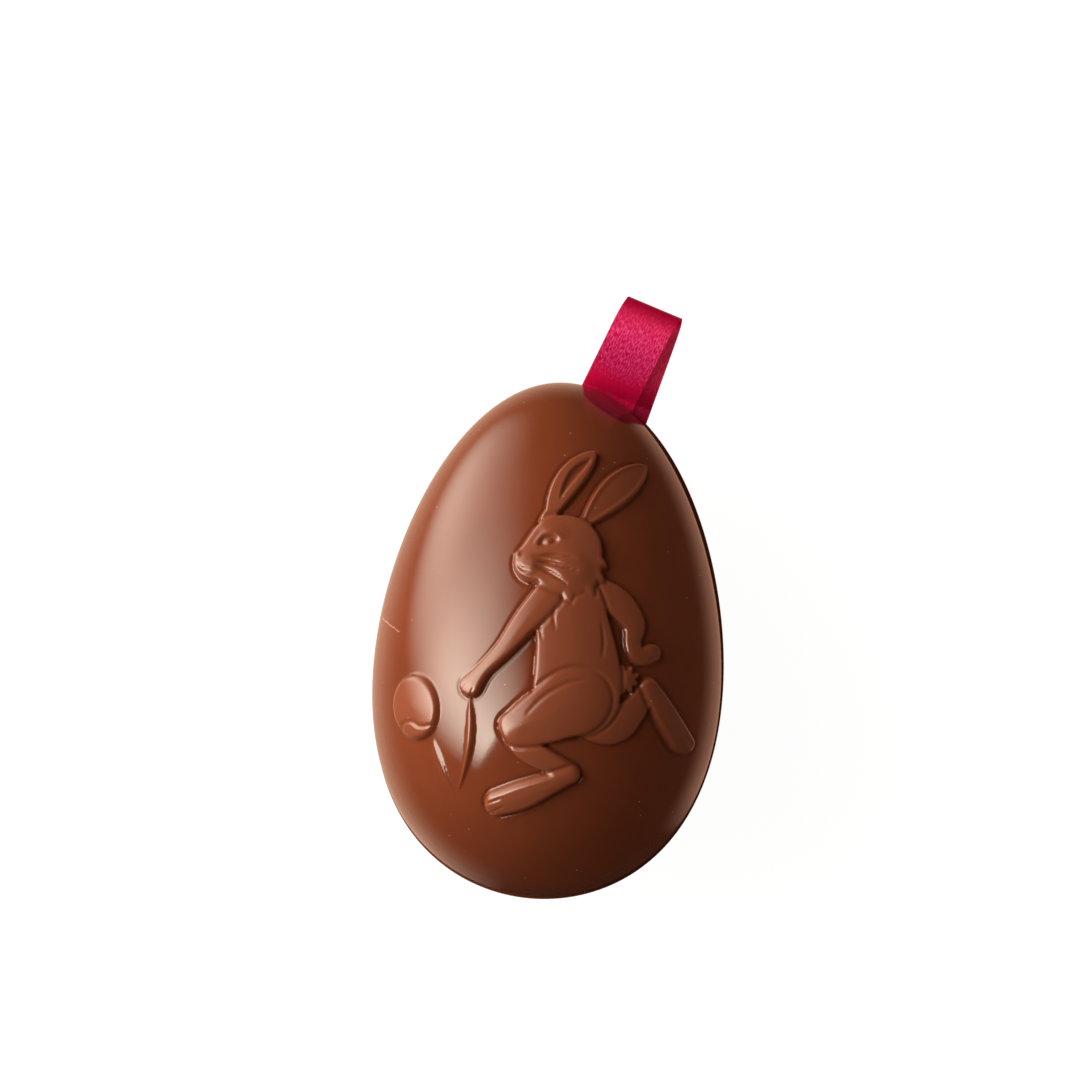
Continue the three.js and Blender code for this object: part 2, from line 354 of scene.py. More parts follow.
def body(height, place):
    barrel = limb(place, (2.2, 9.4, 4.8), (2.8, 5.6, 6.1), (4.0, 1.0, 6.6), (4.9, -4.2, 7.3),
                  (5.0, -8.4, 7.6))
    height = lay(height, barrel, 1.0, swell=0.6, swell_width=4)
    for line in ([(-1.6, 6.0), (-2.0, 3.2), (-1.4, 0.4)], [(0.8, 7.0), (0.3, 4.6), (0.7, 2.0)],
                 [(8.2, 3.4), (8.8, 0.6), (8.6, -2.2)]):
        height = draw(height, place, line, 0.25, 0.32)
    return height


layers += [ears, body]
print(len(layers), "layers so far")

# %% Near legs


def near_hind_leg(height, place):
    shank = limb(place, (-5.6, -14.6, 2.4), (-2.8, -18.2, 2.4), (2.0, -20.6, 2.0), (5.0, -22.0, 1.8))
    height = lay(height, shank, 1.0)
    foot = limb(place, (5.0, -22.3, 1.7), (1.0, -24.4, 2.2), (-3.0, -26.4, 2.7), (-7.0, -28.0, 2.5))
    height = lay(height, foot, 1.25, edge=1.1, swell=0.5)
    height = toes(height, place, (-8.6, -28.7), (-6.2, -27.4), (0.45, -1.1), (-0.7, 0.7))
    thigh = limb(place, (4.6, -10.0, 5.6), (0.0, -12.6, 4.9), (-4.0, -14.6, 3.5))
    haunch = soft_union(thigh, oval(place, (4.6, -9.8), 6.4, 5.6, 20), 1.0)
    height = lay(height, haunch, 1.25, edge=0.7, swell=0.6)
    return draw(height, place, [(6.6, -5.9), (3.0, -6.9), (-0.4, -9.2), (-3.0, -12.2)], 0.22, 0.35)


def near_foreleg(height, place):
    foreleg = limb(place, (-1.0, 7.6, 2.7), (-4.2, 3.2, 2.4), (-7.6, -1.8, 1.75), (-10.8, -5.6, 1.5),
                   (-12.8, -8.4, 2.1))
    height = lay(height, foreleg, 1.25, edge=0.8, swell=0.5, swell_width=1.5)
    return toes(height, place, (-13.5, -10.0), (-12.7, -8.2), (1.0, -0.75), (-0.8, 0, 0.8))


layers += [near_hind_leg, near_foreleg]
print(len(layers), "layers so far")

# %% [markdown]
# The head is a plain rabbit's head in profile: a skull, a cheek and a muzzle that run into each
# other, with fur at the cheek's back edge. It has an almond-shaped eye under a brow line, a nose, a
# mouth line and three whiskers.

# %% Head


def head(height, place):
    skull = oval(place, (1.5, 15.9), 6.5, 5.9, -10)
    cheek = oval(place, (2.0, 12.7), 6.1, 4.8, -10)
    muzzle = limb(place, (-1.8, 14.0, 4.4), (-3.7, 13.1, 3.5))
    outline = soft_union(soft_union(skull, cheek, 1.6), muzzle, 1.2)
    for root, tip in [((5.2, 14.8), (9.0, 12.9)), ((5.2, 12.6), (8.6, 10.4)),
                      ((4.2, 10.8), (6.9, 8.0)), ((1.8, 9.9), (3.0, 6.6))]:
        outline = np.maximum(outline, leaf(place, root, tip, 1.35, 0.15, 0.4))
    height = lay(height, outline, 1.3, edge=0.8, swell=0.6, swell_width=4)
    for middle, half_long, half_short, tilt, rise in [((2.6, 12.2), 4.6, 3.7, -10, 0.4),
                                                      ((-4.4, 12.6), 2.6, 2.1, 20, 0.4),
                                                      ((-0.6, 18.6), 3.4, 1.8, -20, 0.18)]:
        swelling = oval(place, middle, half_long, half_short, tilt) / half_short
        height = height + rise * smooth_step(0, 0.7, swelling)
    return face(height, place)


def face(height, place):
    eye = leaf(place, (-3.0, 15.9), (0.5, 16.9), 0.95, 0.35, 0.5, 0, 0.7)
    height = press(height, eye, 0.45, 0.3)
    height = raise_up(height, oval(place, (-1.35, 16.65), 0.85, 0.72, 15), 0.45, 0.6)
    height = draw(height, place, [(-3.5, 16.3), (-2.3, 17.7), (-0.6, 18.2), (1.0, 17.4)], -0.28, 0.28)
    height = raise_up(height, oval(place, (-6.5, 14.3), 1.0, 0.7, -55), 0.3)
    height = draw(height, place, [(-6.3, 12.6), (-5.2, 11.7), (-3.7, 11.6)], 0.45, 0.3)
    for root, tip in [((-3.6, 14.0), (3.4, 14.0)), ((-3.4, 13.2), (3.6, 11.9)), ((-3.3, 12.4), (2.0, 9.8))]:
        sag = ((root[0] + tip[0]) / 2, (root[1] + tip[1]) / 2 + 0.3)
        height = draw(height, place, [root, sag, tip], 0.6, 0.3)
    return height


layers += [head]
print(len(layers), "layers in all")

# %% [markdown]
# The heights become a vertex group, and a Displace modifier lifts the chocolate by it, along its
# own normals. A Smooth modifier held to the same group then takes off the last knife edges, as
# chocolate never fills a mould's sharpest corners.

# %% Raise the rabbit
place = (points_of(front_half)[:, :2] - np.array(EGG_MIDDLE[:2])).T / MM
relief = np.zeros(place.shape[1])
for layer in layers:
    relief = layer(relief, place)
RELIEF_TOP = relief.max()
for name, heights in [("raised", relief), ("sunk", -relief)]:
    group = front_half.vertex_groups.new(name=name)
    for index in np.flatnonzero(heights > 0):
        group.add([int(index)], heights[index] / RELIEF_TOP, "REPLACE")
edges = front_half.vertex_groups.new(name="relief")
edges.add([int(index) for index in np.flatnonzero(relief)], 1, "REPLACE")
for name, way in [("raised", 1), ("sunk", -1)]:
    apply_modifier(front_half, "DISPLACE", strength=way * RELIEF_TOP * MM, mid_level=0.0,
                   direction="NORMAL", vertex_group=name)
apply_modifier(front_half, "SMOOTH", factor=0.3, iterations=2, vertex_group="relief")
# How high the relief stands: it makes the rabbit a little rougher, as rubbing does, and paler, as a painted
# sheen.
wear_and_sheen = front_half.data.attributes.new(name="wear_and_sheen", type="FLOAT", domain="POINT")
wear_and_sheen.data.foreach_set("value", smooth_step(0.2, 0.9, relief))
print("relief stands", round(RELIEF_TOP, 2), "mm high at most")

# %% [markdown]
# A moulded half has a rim with a slightly rounded lip. The open edge is extruded towards the seam
# and drawn in, twice, and the last edge is filled. The cap is never seen, but it closes the mesh.

# %% Lips and seam faces
LIP = 0.12 * MM


def close_rim(half, up, middle):
    only(half)
    centre = (middle.x, middle.y, SEAM_HEIGHT)
    points = points_of(half)
    points[:, 2] += up * 2 * LIP
    put_points(half, points)
    bpy.ops.object.mode_set(mode="EDIT")
    select_boundary()
    for drop, draw_in in [(1.2, 0.3), (0.6, 0.9)]:
        bpy.ops.mesh.extrude_region_move(TRANSFORM_OT_translate={"value": (0, 0, -up * drop * LIP)})
        shrink = 1 - draw_in * LIP / HALF_WIDTH
        bpy.ops.transform.resize(value=(shrink, shrink, 1), center_override=centre)
    bpy.ops.mesh.edge_face_add()
    bpy.ops.mesh.select_all(action="SELECT")
    bpy.ops.mesh.normals_make_consistent(inside=False)
    bpy.ops.object.mode_set(mode="OBJECT")
    bpy.ops.object.shade_smooth_by_angle(angle=np.radians(80))
    print(half.name, "closed,", len(half.data.polygons), "faces")


close_rim(front_half, 1, EGG_MIDDLE)

# %% [markdown]
# The back half is plain. It was pressed on a little askew, so it is turned and shifted in the
# seam, and its edge shows as a dark sliver on two sides. A bisect cuts the small flat spot that the
# egg rests on, and fills it. Its usual threshold of 0.1 mm would leave faces under the fill.

# %% Back half
BACK_TURN = np.radians(-1.6)
FLAT_THRESHOLD = 1e-8

back_half = wrapped_half("chocolate_back", columns=150, rows=130, dense_share=0.6, up=-1,
                         middle=BACK_MIDDLE)
close_rim(back_half, -1, BACK_MIDDLE)
points = points_of(back_half)
turned = points[:, :2] - np.array(BACK_MIDDLE[:2])
cos_turn, sin_turn = np.cos(BACK_TURN), np.sin(BACK_TURN)
points[:, 0] = BACK_MIDDLE.x + turned[:, 0] * cos_turn - turned[:, 1] * sin_turn
points[:, 1] = BACK_MIDDLE.y + turned[:, 0] * sin_turn + turned[:, 1] * cos_turn
put_points(back_half, points)
only(back_half)
bpy.ops.object.mode_set(mode="EDIT")
bpy.ops.mesh.select_all(action="SELECT")
bpy.ops.mesh.bisect(plane_co=(0, 0, back_low.z), plane_no=(0, 0, -1), threshold=FLAT_THRESHOLD,
                    use_fill=True, clear_outer=True)
bpy.ops.object.mode_set(mode="OBJECT")
points = points_of(back_half)
points[:, 2] = np.maximum(points[:, 2], back_low.z)
put_points(back_half, points)
bpy.ops.object.shade_smooth_by_angle(angle=np.radians(80))
print("back half rests at", round(points[:, 2].min() / MM, 3), "mm")

# %% [markdown]
# ## The ribbon
# A length of 10 mm satin ribbon is folded double and both tails are caught in the seam. The line
# it follows is worked out from the side: out along the seam, up, round the fold and back. A grid
# is bent along that line, so its two directions stay the ribbon's own warp and weft.

# %% The ribbon's line
RIBBON_WIDTH = 10 * MM
RIBBON_THICKNESS = 0.25 * MM
RIBBON_TURN = np.radians(-19)
RIBBON_ROOT = np.array([EGG_MIDDLE.x + 9 * MM, EGG_MIDDLE.y + 43.2 * MM, SEAM_HEIGHT])
REACH = 13.6 * MM
RISE = 6.3 * MM
ROOT_LEAN = np.radians(32)
LEAN = np.radians(15)
FOLD_RADIUS = 1.7 * MM
FOLD_REACH = 3.0 * MM
TAIL_LENGTH = 6 * MM
TAIL_STEPS = 20
BEND = 1 * MM
BEND_STEPS = 12
STRAND_GAP = 1.1 * RIBBON_THICKNESS
STRAND_STEPS = 90
FOLD_STEPS = 36
fold_middle = np.array([REACH, RISE])


def slope(angle):
    return np.array([np.cos(angle), np.sin(angle)])


def bezier(start, handle_1, handle_2, end, steps):
    t = np.linspace(0, 1, steps)[:, None]
    return ((1 - t) ** 3 * start + 3 * t * (1 - t) ** 2 * handle_1
            + 3 * t**2 * (1 - t) * handle_2 + t**3 * end)


def ribbon_strand(side):
    start = np.array([0, side * STRAND_GAP / 2])
    end = fold_middle + side * FOLD_RADIUS * slope(LEAN + np.pi / 2)
    pull = 0.4 * REACH
    strand = bezier(start, start + pull * slope(ROOT_LEAN), end - pull * slope(LEAN), end, STRAND_STEPS)
    tail = start - np.column_stack([np.linspace(TAIL_LENGTH, BEND, TAIL_STEPS)[:-1],
                                    np.zeros(TAIL_STEPS - 1)])
    out_of_bend = strand[np.linalg.norm(strand - start, axis=1) > 1.6 * BEND]
    bend = bezier(start - np.array([BEND, 0]), start, start, out_of_bend[0], BEND_STEPS)
    return np.vstack([tail, bend[:-1], out_of_bend])


turn = np.linspace(np.pi / 2, -np.pi / 2, FOLD_STEPS)[1:-1, None]
fold = (fold_middle + FOLD_REACH * np.cos(turn) * slope(LEAN)
        + FOLD_RADIUS * np.sin(turn) * slope(LEAN + np.pi / 2))
ribbon_line = np.vstack([ribbon_strand(1), fold, ribbon_strand(-1)[::-1]])
steps = np.linalg.norm(np.diff(ribbon_line, axis=0), axis=1)
run = np.concatenate([[0], np.cumsum(steps)])
RIBBON_LENGTH = run[-1]
print("ribbon is", round(RIBBON_LENGTH / MM, 1), "mm long")

# %% [markdown]
# The ribbon isn't folded quite square: it drifts sideways along its strands, and more of it round
# the fold, so the back strand shows beside the front one.

# %% Bend a grid into the ribbon
STRAND_DRIFT = 0.05
FOLD_DRIFT = 0.5 * MM
FOLD_DRIFT_RUN = 2.5 * MM
bpy.ops.object.select_all(action="DESELECT")
bpy.ops.mesh.primitive_grid_add(x_subdivisions=20, y_subdivisions=240, size=2)
ribbon = only(bpy.context.active_object)
ribbon.name = "ribbon_loop"
ribbon.data.name = "ribbon_loop"
grid = points_of(ribbon)
side_place = grid[:, 0] * RIBBON_WIDTH / 2
run_place = (grid[:, 1] + 1) / 2 * RIBBON_LENGTH
out = np.interp(run_place, run, ribbon_line[:, 0])
rise = np.interp(run_place, run, ribbon_line[:, 1])
past_fold = run_place - RIBBON_LENGTH / 2
side_place = side_place + STRAND_DRIFT * past_fold + FOLD_DRIFT * np.tanh(past_fold / FOLD_DRIFT_RUN)
side_way = np.array([np.cos(RIBBON_TURN), np.sin(RIBBON_TURN), 0])
out_way = np.array([-np.sin(RIBBON_TURN), np.cos(RIBBON_TURN), 0])
put_points(ribbon, RIBBON_ROOT + side_place[:, None] * side_way + out[:, None] * out_way
           + rise[:, None] * np.array([0, 0, 1]))
uv_layer = ribbon.data.uv_layers.new(name="weave")
for loop in ribbon.data.loops:
    x, y = grid[loop.vertex_index, :2]
    uv_layer.data[loop.index].uv = (x * RIBBON_WIDTH / 2 / MM, (y + 1) / 2 * RIBBON_LENGTH / MM)
apply_modifier(ribbon, "SOLIDIFY", thickness=RIBBON_THICKNESS, offset=0.0)
only(ribbon)
bpy.ops.object.shade_smooth_by_angle(angle=np.radians(50))
print("ribbon", len(ribbon.data.polygons), "faces")

# %% [markdown]
# ## Finishes
# Both finishes are node materials. Patterns could be painted, but ones that are worked out from a
# place in space need no unwrapping and have no seams. Each helper adds one node, joins it up and
# hands back its output.

# %% Node helpers


def new_material(name):
    material = bpy.data.materials.new(name)
    material.use_nodes = True
    nodes = material.node_tree.nodes
    return material, nodes, material.node_tree.links, nodes["Principled BSDF"]


def noise(nodes, links, coordinate, scale, detail=3.0, roughness=0.5):
    node = nodes.new("ShaderNodeTexNoise")
    node.inputs["Scale"].default_value = scale
    node.inputs["Detail"].default_value = detail
    node.inputs["Roughness"].default_value = roughness
    links.new(coordinate, node.inputs["Vector"])
    return node.outputs["Fac"]


def map_range(nodes, links, value, from_low, from_high, to_low, to_high):
    node = nodes.new("ShaderNodeMapRange")
    for socket, number in zip(("From Min", "From Max", "To Min", "To Max"),
                              (from_low, from_high, to_low, to_high)):
        node.inputs[socket].default_value = number
    links.new(value, node.inputs["Value"])
    return node.outputs["Result"]


def math(nodes, links, operation, *values):
    node = nodes.new("ShaderNodeMath")
    node.operation = operation
    for socket, value in zip(node.inputs, values):
        if isinstance(value, (int, float)):
            socket.default_value = value
        else:
            links.new(value, socket)
    return node.outputs[0]


def blend(nodes, links, factor, first, second):
    node = nodes.new("ShaderNodeMix")
    node.data_type = "RGBA"
    links.new(factor, node.inputs["Factor"])
    for socket, colour in ((node.inputs[6], first), (node.inputs[7], second)):
        if isinstance(colour, tuple):
            socket.default_value = (*colour, 1)
        else:
            links.new(colour, socket)
    return node.outputs[2]


print("helpers: noise, map_range, math, blend")

# %% [markdown]
# Milk chocolate is a brown solid with a soft, slightly uneven gloss. Its colour is faintly mottled,
# and it carries small pale specks that stand a hair proud. One hairline scratch runs over the left
# flank. The raised rabbit is rubbed, so it is a little duller, and it is painted paler where it
# stands highest, as a painted sheen. Beside the tip, the ribbon's shadow and its reflection on the
# chocolate are painted in as a dark crimson patch.

# %% Specks, scratch and painted ribbon shadow


def specks(nodes, links, coordinate, cell, radius, share):
    """A mask of small round dots, one in some of the cells."""
    node = nodes.new("ShaderNodeTexVoronoi")
    node.inputs["Scale"].default_value = 1 / cell
    links.new(coordinate, node.inputs["Vector"])
    near = map_range(nodes, links, node.outputs["Distance"], 0.5 * radius / cell, radius / cell, 1, 0)
    split = nodes.new("ShaderNodeSeparateColor")
    links.new(node.outputs["Color"], split.inputs[0])
    chosen = math(nodes, links, "LESS_THAN", split.outputs[0], share)
    return math(nodes, links, "MULTIPLY", near, chosen)


def seen_from(nodes, links, coordinate, across, along, turn, half_long, half_short):
    """Places as seen from a patch of the front half: its middle is zero, its half sizes are one."""
    place = nodes.new("ShaderNodeMapping")
    place.vector_type = "TEXTURE"
    place.inputs["Location"].default_value = (EGG_MIDDLE.x + across * MM, EGG_MIDDLE.y + along * MM,
                                              SEAM_HEIGHT)
    place.inputs["Rotation"].default_value = (0, 0, np.radians(turn))
    place.inputs["Scale"].default_value = (half_long * MM, half_short * MM, 1)
    links.new(coordinate, place.inputs["Vector"])
    split = nodes.new("ShaderNodeSeparateXYZ")
    links.new(place.outputs["Vector"], split.inputs[0])
    front = math(nodes, links, "GREATER_THAN", split.outputs["Z"], 0)
    return split.outputs["X"], split.outputs["Y"], front


def scratch(nodes, links, coordinate):
    """A mask of one crinkled hairline scratch on the egg's left flank."""
    along, off_line, front = seen_from(nodes, links, coordinate, -27.7, 0.8, -31, 1, 1)
    wobble = math(nodes, links, "MULTIPLY_ADD", noise(nodes, links, coordinate, 1400, 2), 0.9, -0.45)
    off_line = math(nodes, links, "ABSOLUTE", math(nodes, links, "ADD", off_line, wobble))
    line = map_range(nodes, links, off_line, 0.04, 0.14, 1, 0)
    end = map_range(nodes, links, math(nodes, links, "ABSOLUTE", along), 1.7, 2.1, 1, 0)
    return math(nodes, links, "MULTIPLY", math(nodes, links, "MULTIPLY", line, end), front)


def ribbon_shadow_painted(nodes, links, coordinate):
    """A mask of the oval patch beside the tip where the ribbon's shadow and reflection are painted."""
    across, along, front = seen_from(nodes, links, coordinate, 8.35, 41.8, -29, 6.5, 2.3)
    across = math(nodes, links, "POWER", math(nodes, links, "ABSOLUTE", across), 2.6)
    along = math(nodes, links, "POWER", math(nodes, links, "ABSOLUTE", along), 2.6)
    inside = map_range(nodes, links, math(nodes, links, "ADD", across, along), 0.75, 1.1, 1, 0)
    return math(nodes, links, "MULTIPLY", inside, front)


print("masks: specks, scratch, ribbon_shadow_painted")

# %% Milk chocolate
MILK_DARK = (0.178, 0.0405, 0.0160)
MILK_PALE = (0.204, 0.0480, 0.0195)
# Painted sheen: the paler colour the raised rabbit is given where it stands highest.
PAINTED_SHEEN_PALE = (0.305, 0.085, 0.041)
# Painted shadow and reflection of the ribbon on the chocolate beside the tip.
PAINTED_RIBBON_SHADOW = (0.105, 0.002, 0.004)
# One pale colour for the small specks and the hairline scratch.
PALE_MARKS = (0.5, 0.26, 0.17)


def chocolate_material():
    material, nodes, links, shader = new_material("milk_chocolate")
    coordinate = nodes.new("ShaderNodeTexCoord").outputs["Object"]
    mottle = map_range(nodes, links, noise(nodes, links, coordinate, 70, 5, 0.6), 0.3, 0.7, 0, 1)
    colour = blend(nodes, links, mottle, MILK_DARK, MILK_PALE)
    dots = specks(nodes, links, coordinate, 2.7 * MM, 0.17 * MM, 0.6)
    pale_marks = math(nodes, links, "MAXIMUM", math(nodes, links, "MULTIPLY", dots, 0.85),
                  scratch(nodes, links, coordinate))
    wear_and_sheen = nodes.new("ShaderNodeAttribute")
    wear_and_sheen.attribute_name = "wear_and_sheen"
    # The raised parts are painted paler: a painted sheen, not a colour of their own.
    painted_sheen_share = math(nodes, links, "MULTIPLY", wear_and_sheen.outputs["Fac"], 0.6)
    colour = blend(nodes, links, painted_sheen_share, colour, PAINTED_SHEEN_PALE)
    # The ribbon's shadow and reflection beside the tip are painted in dark crimson.
    ribbon_shadow_share = math(nodes, links, "MULTIPLY", ribbon_shadow_painted(nodes, links, coordinate), 0.92)
    colour = blend(nodes, links, ribbon_shadow_share, colour, PAINTED_RIBBON_SHADOW)
    links.new(blend(nodes, links, pale_marks, colour, PALE_MARKS), shader.inputs["Base Color"])
    smudge = map_range(nodes, links, noise(nodes, links, coordinate, 60, 3), 0.3, 0.7, 0.08, 0.13)
    rough = math(nodes, links, "MULTIPLY_ADD", wear_and_sheen.outputs["Fac"], 0.06, smudge)
    links.new(rough, shader.inputs["Roughness"])
    shader.inputs["IOR"].default_value = 1.5
    grain = noise(nodes, links, coordinate, 1800, 2)
    bump = nodes.new("ShaderNodeBump")
    bump.inputs["Strength"].default_value = 0.3
    bump.inputs["Distance"].default_value = 0.02 * MM
    links.new(math(nodes, links, "ADD", grain, dots), bump.inputs["Height"])
    links.new(bump.outputs["Normal"], shader.inputs["Normal"])
    return material


chocolate = chocolate_material()
print("made", chocolate.name, "with", len(chocolate.node_tree.nodes), "nodes")

# %% [markdown]
# Satin's face is long floating threads. A noise stretched along the ribbon gives fine dashes that
# run along it, in its bump and its colour, and an anisotropic gloss follows its run, so the ribbon
# has a UV map in millimetres. The sheen in a band across the ribbon is painted: mostly in the band
# the dashes are painted pink, as painted glints. The fold and the lower strand are painted a
# darker red, as painted shade.

# %% Satin
CRIMSON = (0.68, 0.0, 0.062)
# The red inside the painted sheen band.
CRIMSON_IN_PAINTED_SHEEN = (0.58, 0.0, 0.078)
# The darker red of the painted shade in the fold and on the lower strand.
CRIMSON_PAINTED_SHADE = (0.33, 0.0, 0.028)
# The pink of the painted glints.
PAINTED_GLINT_PINK = (0.77, 0.07, 0.27)
# Where the painted sheen band is centred, in millimetres along the ribbon.
PAINTED_SHEEN_MIDDLE = 15.8


def satin_material():
    material, nodes, links, shader = new_material("crimson_satin")
    weave = nodes.new("ShaderNodeUVMap")
    weave.uv_map = "weave"
    stretch = nodes.new("ShaderNodeMapping")
    stretch.inputs["Rotation"].default_value = (0, 0, np.radians(12))
    stretch.inputs["Scale"].default_value = (4.6, 1.15, 1)
    links.new(weave.outputs["UV"], stretch.inputs["Vector"])
    fleck = noise(nodes, links, stretch.outputs["Vector"], 1.0, 3, 0.6)
    split = nodes.new("ShaderNodeSeparateXYZ")
    links.new(weave.outputs["UV"], split.inputs[0])
    off_band = math(nodes, links, "ABSOLUTE", math(nodes, links, "SUBTRACT", split.outputs["Y"],
                                               PAINTED_SHEEN_MIDDLE))
    # The band across the ribbon where the sheen is painted.
    band = map_range(nodes, links, off_band, 3.0, 7.5, 1, 0.12)
    # Painted glints: pink dashes, mostly inside the painted sheen band.
    painted_glints = math(nodes, links, "MULTIPLY", map_range(nodes, links, fleck, 0.47, 0.59, 0, 1), band)
    ground = blend(nodes, links, band, CRIMSON, CRIMSON_IN_PAINTED_SHEEN)
    # Painted shade: a darker red towards the fold and on the lower strand.
    fold_painted_shade = map_range(nodes, links, split.outputs["Y"], 17.5, 21, 0, 0.45)
    behind = map_range(nodes, links, split.outputs["Y"], 0.53 * RIBBON_LENGTH / MM,
                       0.6 * RIBBON_LENGTH / MM, 0, 0.98)
    deeper = math(nodes, links, "MAXIMUM", fold_painted_shade, behind)
    ground = blend(nodes, links, deeper, ground, CRIMSON_PAINTED_SHADE)
    links.new(blend(nodes, links, painted_glints, ground, PAINTED_GLINT_PINK), shader.inputs["Base Color"])
    tangent = nodes.new("ShaderNodeTangent")
    tangent.direction_type = "UV_MAP"
    tangent.uv_map = "weave"
    links.new(tangent.outputs[0], shader.inputs["Tangent"])
    shader.inputs["Metallic"].default_value = 0.15
    shader.inputs["Specular IOR Level"].default_value = 0.25
    shader.inputs["Roughness"].default_value = 0.5
    shader.inputs["Anisotropic"].default_value = 0.8
    shader.inputs["Specular Tint"].default_value = (1.0, 0.3, 0.5, 1)
    shader.inputs["Subsurface Weight"].default_value = 0.4
    shader.inputs["Subsurface Radius"].default_value = (1, 0.1, 0.2)
    shader.inputs["Subsurface Scale"].default_value = 0.5 * MM
    bump = nodes.new("ShaderNodeBump")
    bump.inputs["Strength"].default_value = 0.55
    bump.inputs["Distance"].default_value = 0.25 * MM
    links.new(fleck, bump.inputs["Height"])
    links.new(bump.outputs["Normal"], shader.inputs["Normal"])
    return material


satin = satin_material()
print("made", satin.name, "with", len(satin.node_tree.nodes), "nodes")

# %% Put on the finishes
for piece, finish in [(front_half, chocolate), (back_half, chocolate), (ribbon, satin)]:
    piece.data.materials.clear()
    piece.data.materials.append(finish)
    print(piece.name, "is", finish.name)

# %% [markdown]
# ## Joining the frame
# Nothing moves, so all three pieces ride on the root body. Each one takes the place of its solid.
# The ribbon casts no shadow; the shade on its lower strand and its shadow on the chocolate beside
# the tip are painted into the finishes instead.

# %% Ride and replace
for piece, node, slot in [(front_half, "front_half", "milk_chocolate"),
                          (back_half, "back_half", "milk_chocolate"),
                          (ribbon, "ribbon", "satin_ribbon")]:
    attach(piece, "root")
    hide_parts(node)
ribbon.visible_shadow = False
print("three pieces stand for the three solids")

# %% [markdown]
# ## Studio
# The egg is seen from straight above through a long lens, so there is hardly any perspective. The
# view is turned by a few degrees, as the egg leans a little.

# %% Camera
VIEW_WIDTH = 189.2 * MM
TILT = np.radians(3.78)
LENS = 200
SENSOR = 36
AIM_RIGHT = -1.7 * MM
AIM_UP = 17.35 * MM
camera_data = bpy.data.cameras.new("camera")
camera_data.lens = LENS
camera_data.sensor_width = SENSOR
camera_data.clip_start = 0.01
camera_data.clip_end = 50
camera = bpy.data.objects.new("camera", camera_data)
bpy.context.scene.collection.objects.link(camera)
right = np.array([np.cos(TILT), np.sin(TILT), 0])
up = np.array([-np.sin(TILT), np.cos(TILT), 0])
egg_centre = np.array([EGG_MIDDLE.x, EGG_MIDDLE.y, SEAM_HEIGHT])
aim = egg_centre + AIM_RIGHT * right + AIM_UP * up
camera.location = aim + np.array([0, 0, VIEW_WIDTH * LENS / SENSOR])
camera.rotation_euler = (0, 0, TILT)
bpy.context.scene.camera = camera
print("camera stands", round(VIEW_WIDTH * LENS / SENSOR, 2), "m above the seam")

# %% [markdown]
# The floor is plain and pale. It glows a little, so that it looks evenly lit, and it takes no part
# in the egg's reflections.

# %% Floor
FLOOR_SIZE = 6
bpy.ops.object.select_all(action="DESELECT")
bpy.ops.mesh.primitive_plane_add(size=FLOOR_SIZE)
floor = only(bpy.context.active_object)
floor.name = "floor"
floor_material, nodes, links, shader = new_material("pale_floor")
shader.inputs["Base Color"].default_value = (0.12, 0.12, 0.12, 1)
shader.inputs["Roughness"].default_value = 1.0
shader.inputs["Specular IOR Level"].default_value = 0.0
shader.inputs["Emission Color"].default_value = (1, 1, 1, 1)
shader.inputs["Emission Strength"].default_value = 0.97
floor.data.materials.append(floor_material)
floor.visible_glossy = False
floor.visible_diffuse = False
floor.visible_shadow = False
print("floor is", FLOOR_SIZE, "m wide")

# %% [markdown]
# The light comes from big soft cards. On glossy chocolate the lit side is wide but the sheen on it is
# narrow, and one card can't give both. So the key card at the upper left only lights, and the
# sheen card at nearly the same place only shows in reflections. Weak cards at the right and the
# lower left open up the shade. A card fades to clear, so that what lies behind it still shows.

# %% How a card is made
CARD_DISTANCE = 0.7


def soft_box(name, azimuth, elevation, roll, half_wide, half_tall, radiance, colour, fades):
    """A glowing card whose place and half sizes are angles. Each fade is a way across the card, and
    where along it the card is gone, where it is whole, and the least share that stays."""
    azimuth, elevation, roll = np.radians([azimuth, elevation, roll])
    away = np.array([np.cos(azimuth) * np.cos(elevation), np.sin(azimuth) * np.cos(elevation),
                     np.sin(elevation)])
    level = np.array([-np.sin(azimuth), np.cos(azimuth), 0])
    tall = np.cross(away, level)
    tall, level = (tall * np.cos(roll) + level * np.sin(roll),
                   level * np.cos(roll) - tall * np.sin(roll))
    bpy.ops.object.select_all(action="DESELECT")
    bpy.ops.mesh.primitive_plane_add(size=2)
    card = only(bpy.context.active_object)
    card.name = name
    reach = CARD_DISTANCE * np.tan(np.radians([half_wide, half_tall]))
    matrix = Matrix(np.column_stack([level * reach[0], tall * reach[1], away])).to_4x4()
    matrix.translation = egg_centre + CARD_DISTANCE * away
    card.matrix_world = matrix
    material, nodes, links, shader = new_material(name)
    place = nodes.new("ShaderNodeTexCoord").outputs["Object"]
    share = 1.0
    for way, gone_at, full_at, least in fades:
        run = nodes.new("ShaderNodeVectorMath")
        run.operation = "DOT_PRODUCT"
        links.new(place, run.inputs[0])
        run.inputs[1].default_value = (*way, 0)
        fade = map_range(nodes, links, run.outputs["Value"], gone_at, full_at, least, 1)
        fade.node.interpolation_type = "SMOOTHSTEP"
        share = math(nodes, links, "MULTIPLY", share, fade)
    shader.inputs["Base Color"].default_value = (0, 0, 0, 1)
    shader.inputs["Specular IOR Level"].default_value = 0
    shader.inputs["Emission Color"].default_value = (*colour, 1)
    shader.inputs["Emission Strength"].default_value = radiance
    links.new(share, shader.inputs["Alpha"])
    card.data.materials.append(material)
    card.visible_camera = False
    card.visible_shadow = False
    print(name, "is", round(2 * reach[0], 2), "m by", round(2 * reach[1], 2), "m")
    return card


